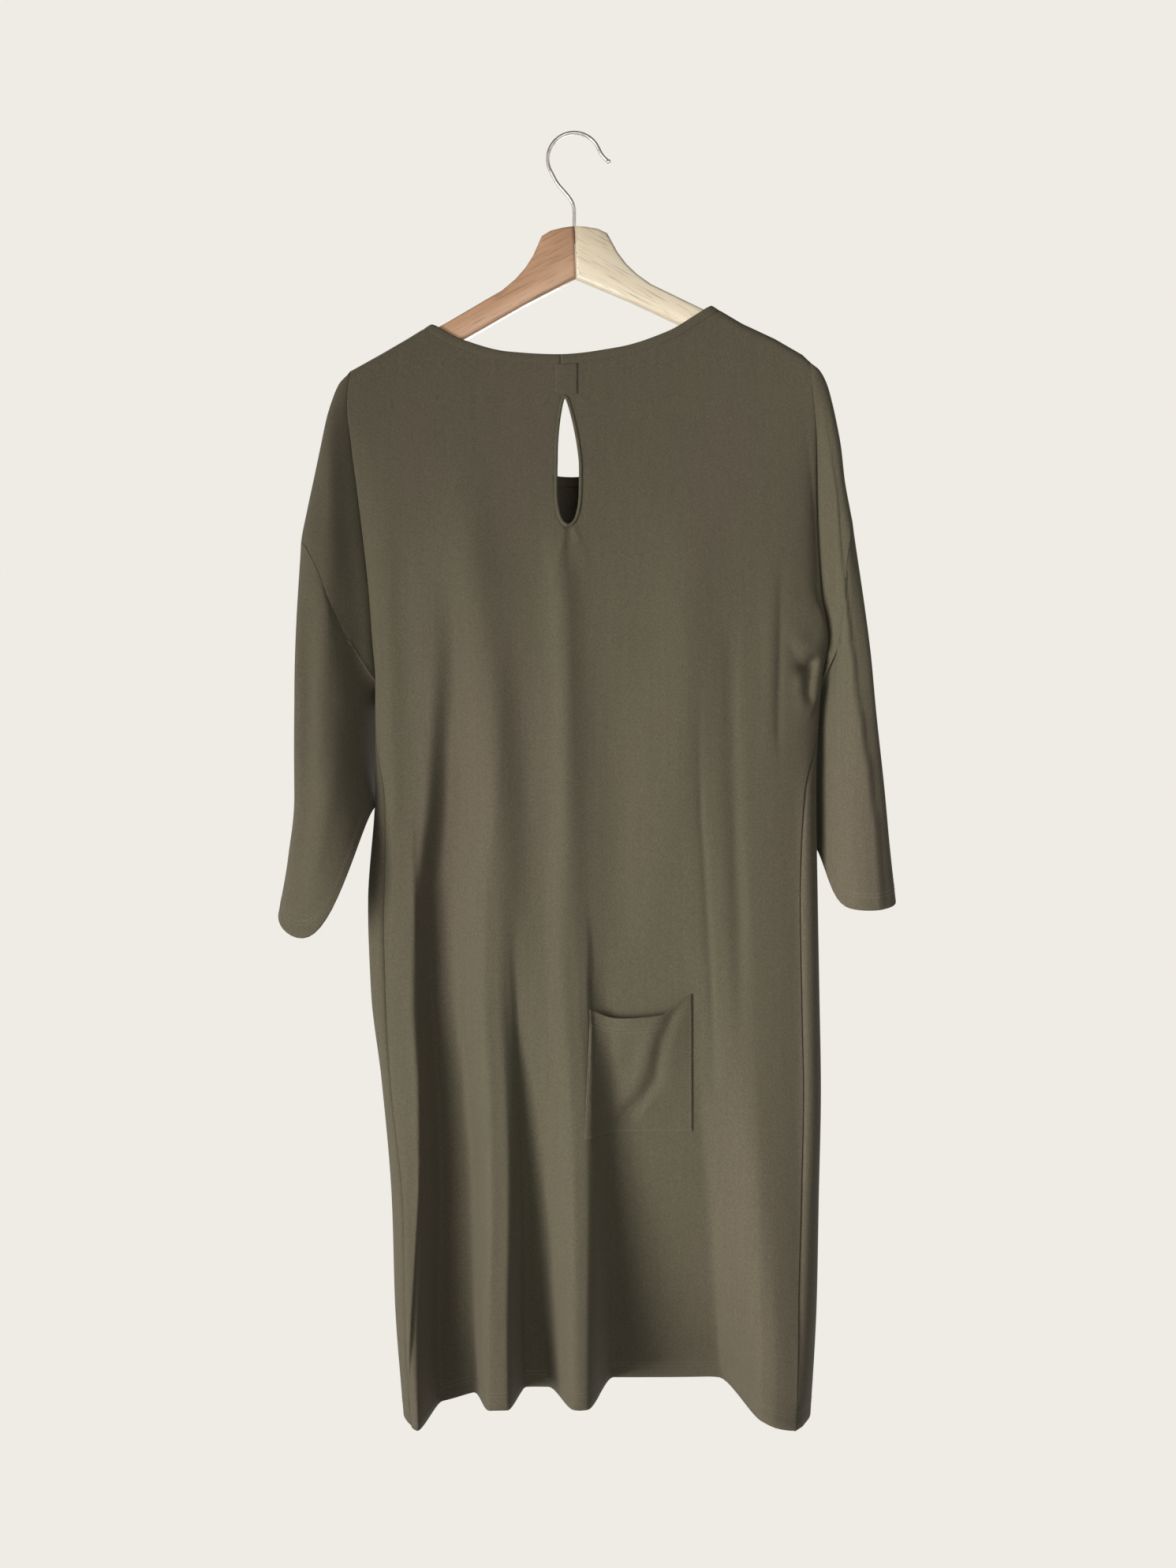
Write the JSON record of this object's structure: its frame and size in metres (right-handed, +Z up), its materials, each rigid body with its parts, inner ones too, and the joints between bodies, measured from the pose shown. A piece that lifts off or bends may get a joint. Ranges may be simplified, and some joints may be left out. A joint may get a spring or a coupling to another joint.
{
  "type": "jersey dress on a wooden hanger",
  "caption": "Knee-length jersey dress with dropped shoulders, wide sleeves, a keyhole slit and a patch pocket, hanging on a wooden hanger.",
  "frame": {"origin": "point inside the top of the hook where a rail carries the hanger", "axes": "+Z up; -Y towards the side with the keyhole and the pocket; +X towards the wearer's right sleeve"},
  "size_m": [0.5573, 0.1589, 1.155],
  "materials": {
    "olive_jersey": "matt heathered olive jersey",
    "red_wood": "satin varnish",
    "pale_wood": "satin varnish",
    "steel_wire": "bright drawn wire"
  },
  "bodies": {
    "root": {"back_panel": "olive_jersey", "front_panel": "olive_jersey", "sleeve_left": "olive_jersey", "sleeve_right": "olive_jersey", "neckband_back_left": "olive_jersey", "neckband_back_right": "olive_jersey", "neckband_front": "olive_jersey", "keyhole_binding": "olive_jersey", "keyhole_tab": "olive_jersey", "patch_pocket": "olive_jersey", "hanger_left": "red_wood", "hanger_right": "pale_wood", "hanger_hook": "steel_wire"}
  },
  "joints": []
}
